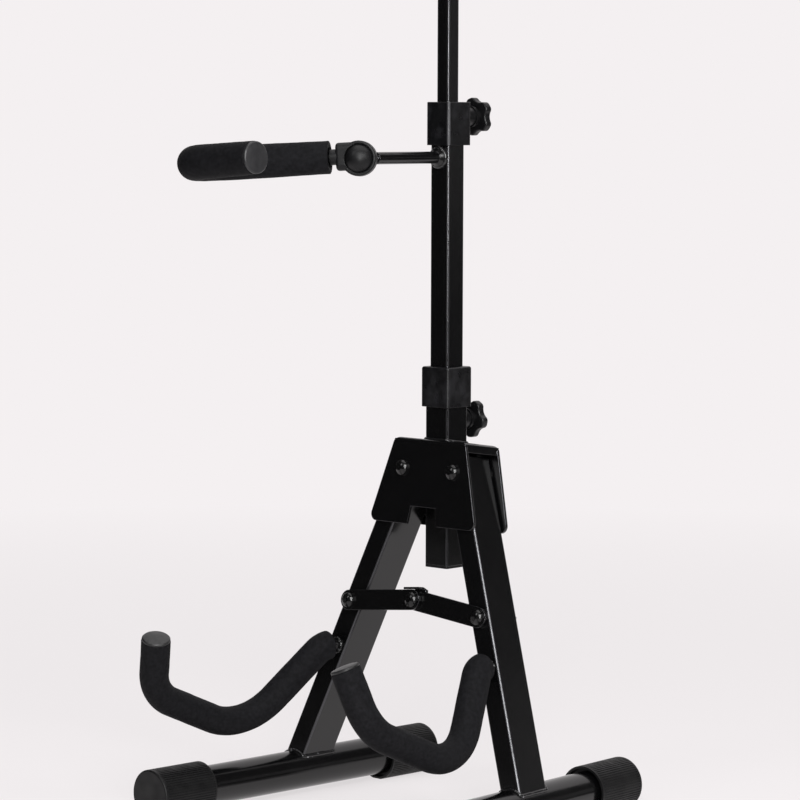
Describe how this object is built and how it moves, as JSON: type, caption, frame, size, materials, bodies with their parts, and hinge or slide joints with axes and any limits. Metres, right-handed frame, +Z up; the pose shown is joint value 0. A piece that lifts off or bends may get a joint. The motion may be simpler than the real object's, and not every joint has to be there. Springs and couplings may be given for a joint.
{
  "type": "violin stand",
  "caption": "Folding A-frame floor stand for a violin: telescoping square column, padded cradle arms on splayed legs, swivelling padded neck yoke and a bow hook.",
  "frame": {"origin": "on the floor, at the middle of the overall box in plan; the column stands 74 mm behind it", "axes": "+Z up along the column, -Y to the front where the violin goes, +X to the viewer's right when facing its front"},
  "size_m": [0.302, 0.3402, 0.766],
  "materials": {
    "coat": "semi-gloss black powder coat",
    "foam": "matte black foam",
    "plastic": "satin black plastic",
    "rubber": "matte black rubber",
    "steel": "black oxide steel"
  },
  "bodies": {
    "column": {"lower_tube": "coat", "lower_tube_plug": "plastic", "hinge_bracket": "coat", "lower_collar": "plastic", "lower_knob_nut": "steel", "hinge_bolts": "steel", "hinge_nuts": "steel"},
    "left_leg": {"left_leg_tube": "coat", "left_hinge_bushes": "plastic", "left_foot_tube": "coat", "left_front_cap": "rubber", "left_rear_cap": "rubber", "left_cradle_rod": "coat", "left_cradle_foam": "foam", "left_cradle_tip": "plastic", "left_link_bolt": "steel", "left_link_nut": "steel", "left_link_spacer": "steel"},
    "right_leg": {"right_leg_tube": "coat", "right_hinge_bushes": "plastic", "right_foot_tube": "coat", "right_front_cap": "rubber", "right_rear_cap": "rubber", "right_cradle_rod": "coat", "right_cradle_foam": "foam", "right_cradle_tip": "plastic", "right_link_tail": "steel", "right_link_nut": "steel"},
    "left_link": {"left_brace_link": "coat", "brace_centre_bolt": "steel", "brace_centre_nut": "steel"},
    "right_link": {"right_brace_link": "coat", "right_link_bolt": "steel"},
    "middle": {"middle_tube": "coat", "middle_tube_guide": "plastic", "upper_collar": "plastic", "upper_knob_nut": "steel", "neck_arm_rod": "coat"},
    "upper": {"upper_tube": "coat", "upper_tube_guide": "plastic", "top_plug": "plastic", "bow_hook": "coat", "bow_hook_sleeve": "rubber"},
    "lower_screw": {"lower_knob_screw": "steel"},
    "lower_knob": {"lower_knob": "plastic"},
    "upper_screw": {"upper_knob_screw": "steel"},
    "upper_knob": {"upper_knob": "plastic"},
    "ball": {"swivel_ball": "plastic"},
    "seat": {"swivel_seat": "plastic"},
    "yoke": {"yoke_socket": "plastic", "yoke_rod": "coat", "yoke_foam": "foam", "yoke_tip": "plastic"}
  },
  "joints": [
    {"name": "left_leg_fold", "type": "hinge", "parent": "column", "child": "left_leg", "pos_m": [-0.0278, 0.07152, 0.28066], "axis": [0, -0.9895, 0.1447], "range_deg": [0, 20.3]},
    {"name": "right_leg_fold", "type": "hinge", "parent": "column", "child": "right_leg", "pos_m": [0.0278, 0.07152, 0.28066], "axis": [0, -0.9895, 0.1447], "range_deg": [-20.3, 0]},
    {"name": "left_link_pivot", "type": "hinge", "parent": "left_leg", "child": "left_link", "pos_m": [-0.07037, 0.05487, 0.16679], "axis": [0, -0.9895, 0.1447], "range_deg": [0, 40.73]},
    {"name": "brace_centre_pivot", "type": "hinge", "parent": "left_link", "child": "right_link", "pos_m": [0, 0.05591, 0.17392], "axis": [0, -0.9895, 0.1447], "range_deg": [-122.04, 0]},
    {"name": "middle_tube_slide", "type": "slide", "parent": "column", "child": "middle", "axis": [0, 0, 1], "range_m": [-0.045, 0.04]},
    {"name": "upper_tube_slide", "type": "slide", "parent": "middle", "child": "upper", "axis": [0, 0, 1], "range_m": [-0.15, 0.08]},
    {"name": "lower_screw_travel", "type": "slide", "parent": "column", "child": "lower_screw", "axis": [0, 1, 0], "range_m": [0, 0.00201]},
    {"name": "lower_knob_turn", "type": "hinge", "parent": "lower_screw", "child": "lower_knob", "pos_m": [0, 0.0994, 0.3231], "axis": [0, 1, 0], "range_deg": [0, 720]},
    {"name": "upper_screw_travel", "type": "slide", "parent": "middle", "child": "upper_screw", "axis": [0, 1, 0], "range_m": [0, 0.00201]},
    {"name": "upper_knob_turn", "type": "hinge", "parent": "upper_screw", "child": "upper_knob", "pos_m": [0, 0.0994, 0.5745], "axis": [0, 1, 0], "range_deg": [0, 720]},
    {"name": "yoke_roll", "type": "hinge", "parent": "middle", "child": "ball", "pos_m": [0, -0.0316, 0.541], "axis": [0, 1, 0], "range_deg": [-20, 20]},
    {"name": "yoke_tilt", "type": "hinge", "parent": "ball", "child": "seat", "pos_m": [0, -0.0316, 0.541], "axis": [1, 0, 0], "range_deg": [-12, 12]},
    {"name": "yoke_swing", "type": "hinge", "parent": "seat", "child": "yoke", "pos_m": [0, -0.0316, 0.541], "axis": [0, 0, 1], "range_deg": [-40, 3]}
  ],
  "couplings": [
    {"joint": "right_leg_fold", "follows": "left_leg_fold", "ratio": -1},
    {"joint": "left_link_pivot", "follows": "left_leg_fold", "ratio": 2.0057},
    {"joint": "brace_centre_pivot", "follows": "left_leg_fold", "ratio": -6.0114},
    {"joint": "lower_screw_travel", "follows": "lower_knob_turn", "m_per_rad": 0.00015915},
    {"joint": "upper_screw_travel", "follows": "upper_knob_turn", "m_per_rad": 0.00015915}
  ]
}
